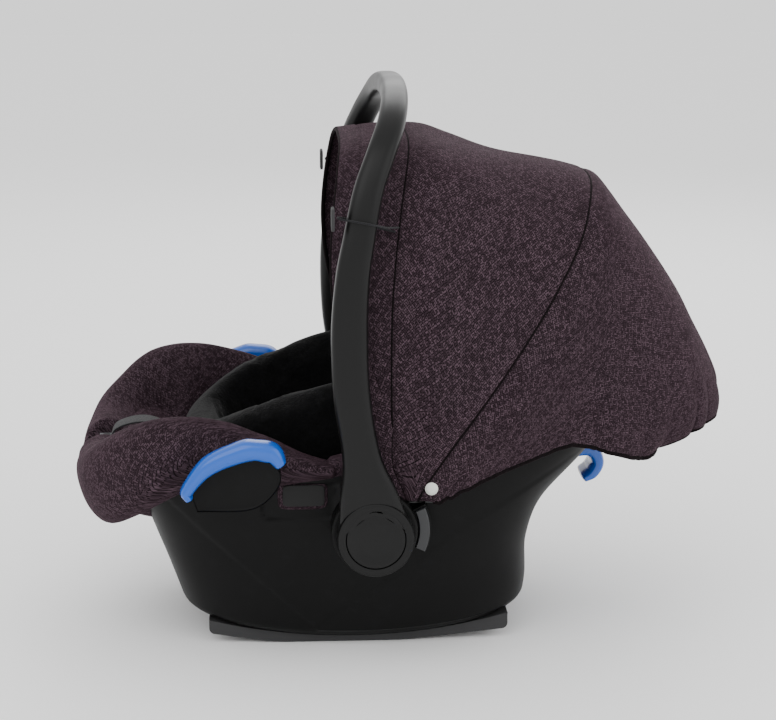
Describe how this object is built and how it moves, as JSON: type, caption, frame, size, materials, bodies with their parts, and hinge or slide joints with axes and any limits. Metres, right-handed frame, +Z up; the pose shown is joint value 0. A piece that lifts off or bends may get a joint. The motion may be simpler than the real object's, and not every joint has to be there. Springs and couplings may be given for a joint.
{
  "type": "infant car seat",
  "caption": "Rear-facing infant carrier seat: moulded bucket on rocker runners, tilting carrying handle, folding canopy, padded rim, infant insert, harness and belt guides.",
  "frame": {"origin": "middle of the bounding box, on the floor the runners rest on", "axes": "+X towards the child's head, +Z up, -Y is the child's left; the seat is symmetric about Y = 0"},
  "size_m": [0.6702, 0.4446, 0.5736],
  "materials": {
    "shell_plastic": "moulded black polypropylene, fine texture",
    "handle_plastic": "moulded satin charcoal polypropylene",
    "blue_plastic": "glossy blue, marks the belt route",
    "grey_plastic": "mid grey release button",
    "runner_rubber": "dark grey grip strip",
    "steel": "zinc-plated steel",
    "foam": "expanded bead foam",
    "woven_fabric": "coarse woven plum and grey",
    "plush": "short black plush",
    "hook_tape": "black hook tape",
    "webbing": "black polyester webbing",
    "buckle_plastic": "black acetal",
    "red_plastic": "red release button",
    "light_plastic": "off-white moulded",
    "elastic": "round covered elastic",
    "loop_rubber": "soft black tab"
  },
  "bodies": {
    "seat": {"adjuster_frame": "light_plastic", "adjuster_strap": "webbing", "belt_guide_housing_left": "shell_plastic", "belt_guide_housing_right": "shell_plastic", "belt_guide_left": "blue_plastic", "belt_guide_right": "blue_plastic", "buckle_housing": "buckle_plastic", "buckle_tongue_left": "buckle_plastic", "buckle_tongue_right": "buckle_plastic", "canopy_bracket_left": "buckle_plastic", "canopy_bracket_right": "buckle_plastic", "canopy_rear_panel": "woven_fabric", "canopy_snap_left": "light_plastic", "canopy_snap_right": "light_plastic", "cover_tab_left": "woven_fabric", "cover_tab_right": "woven_fabric", "crotch_strap": "webbing", "foam_liner": "foam", "foot_rim_pad": "woven_fabric", "handle_bolt_left": "steel", "handle_bolt_right": "steel", "head_pillow": "plush", "head_rim_pad": "woven_fabric", "hook_patch_left": "hook_tape", "hook_patch_right": "hook_tape", "infant_insert": "plush", "lock_disc_left": "steel", "lock_disc_right": "steel", "lock_housing_left": "shell_plastic", "lock_housing_right": "shell_plastic", "rear_belt_hook": "blue_plastic", "runner_left": "runner_rubber", "runner_right": "runner_rubber", "runner_screws": "steel", "seat_cover": "woven_fabric", "shell": "shell_plastic", "shoulder_pad_left": "plush", "shoulder_pad_right": "plush", "shoulder_strap_left": "webbing", "shoulder_strap_right": "webbing"},
    "handle": {"carry_handle": "handle_plastic", "hub_spring_left": "steel", "hub_spring_right": "steel"},
    "hub_button_left": {"hub_button_left": "handle_plastic"},
    "hub_button_right": {"hub_button_right": "handle_plastic"},
    "release_left": {"adapter_release_left": "grey_plastic"},
    "release_right": {"adapter_release_right": "grey_plastic"},
    "buckle_button": {"buckle_button": "red_plastic"},
    "adjuster_button": {"adjuster_button": "buckle_plastic"},
    "canopy_rear": {"canopy_rear_bow": "buckle_plastic", "canopy_main_panel": "woven_fabric"},
    "canopy_front": {"canopy_front_bow": "buckle_plastic", "canopy_front_panel": "woven_fabric", "elastic_loop_left": "elastic", "elastic_loop_right": "elastic", "loop_tag_left": "loop_rubber", "loop_tag_right": "loop_rubber"}
  },
  "joints": [
    {"name": "handle_tilt", "type": "hinge", "parent": "seat", "child": "handle", "pos_m": [-0.03, 0, 0.141], "axis": [0, 1, 0], "range_deg": [0, 100], "deforming": ["elastic_loop_left", "elastic_loop_right", "loop_tag_left", "loop_tag_right"]},
    {"name": "hub_press_left", "type": "slide", "parent": "handle", "child": "hub_button_left", "axis": [0, 1, 0], "range_m": [0, 0.003], "stiffness_N_per_m": 900, "springref_m": -0.002, "deforming": ["hub_spring_left"]},
    {"name": "hub_press_right", "type": "slide", "parent": "handle", "child": "hub_button_right", "axis": [0, -1, 0], "range_m": [0, 0.003], "stiffness_N_per_m": 900, "springref_m": -0.002, "deforming": ["hub_spring_right"]},
    {"name": "adapter_press_left", "type": "slide", "parent": "seat", "child": "release_left", "axis": [0, 1, 0], "range_m": [0, 0.003], "stiffness_N_per_m": 700, "springref_m": -0.002},
    {"name": "adapter_press_right", "type": "slide", "parent": "seat", "child": "release_right", "axis": [0, -1, 0], "range_m": [0, 0.003], "stiffness_N_per_m": 700, "springref_m": -0.002},
    {"name": "buckle_press", "type": "slide", "parent": "seat", "child": "buckle_button", "axis": [0, 0, -1], "range_m": [0, 0.0035], "stiffness_N_per_m": 1200, "springref_m": -0.003},
    {"name": "adjuster_press", "type": "slide", "parent": "seat", "child": "adjuster_button", "axis": [0, 0, -1], "range_m": [0, 0.003], "stiffness_N_per_m": 900, "springref_m": -0.003},
    {"name": "canopy_rear_fold", "type": "hinge", "parent": "seat", "child": "canopy_rear", "pos_m": [0.012, 0, 0.181], "axis": [0, 1, 0], "range_deg": [0, 14], "deforming": ["canopy_rear_panel"]},
    {"name": "canopy_front_fold", "type": "hinge", "parent": "canopy_rear", "child": "canopy_front", "pos_m": [0.012, 0, 0.181], "axis": [0, 1, 0], "range_deg": [0, 25], "deforming": ["canopy_main_panel"]}
  ]
}
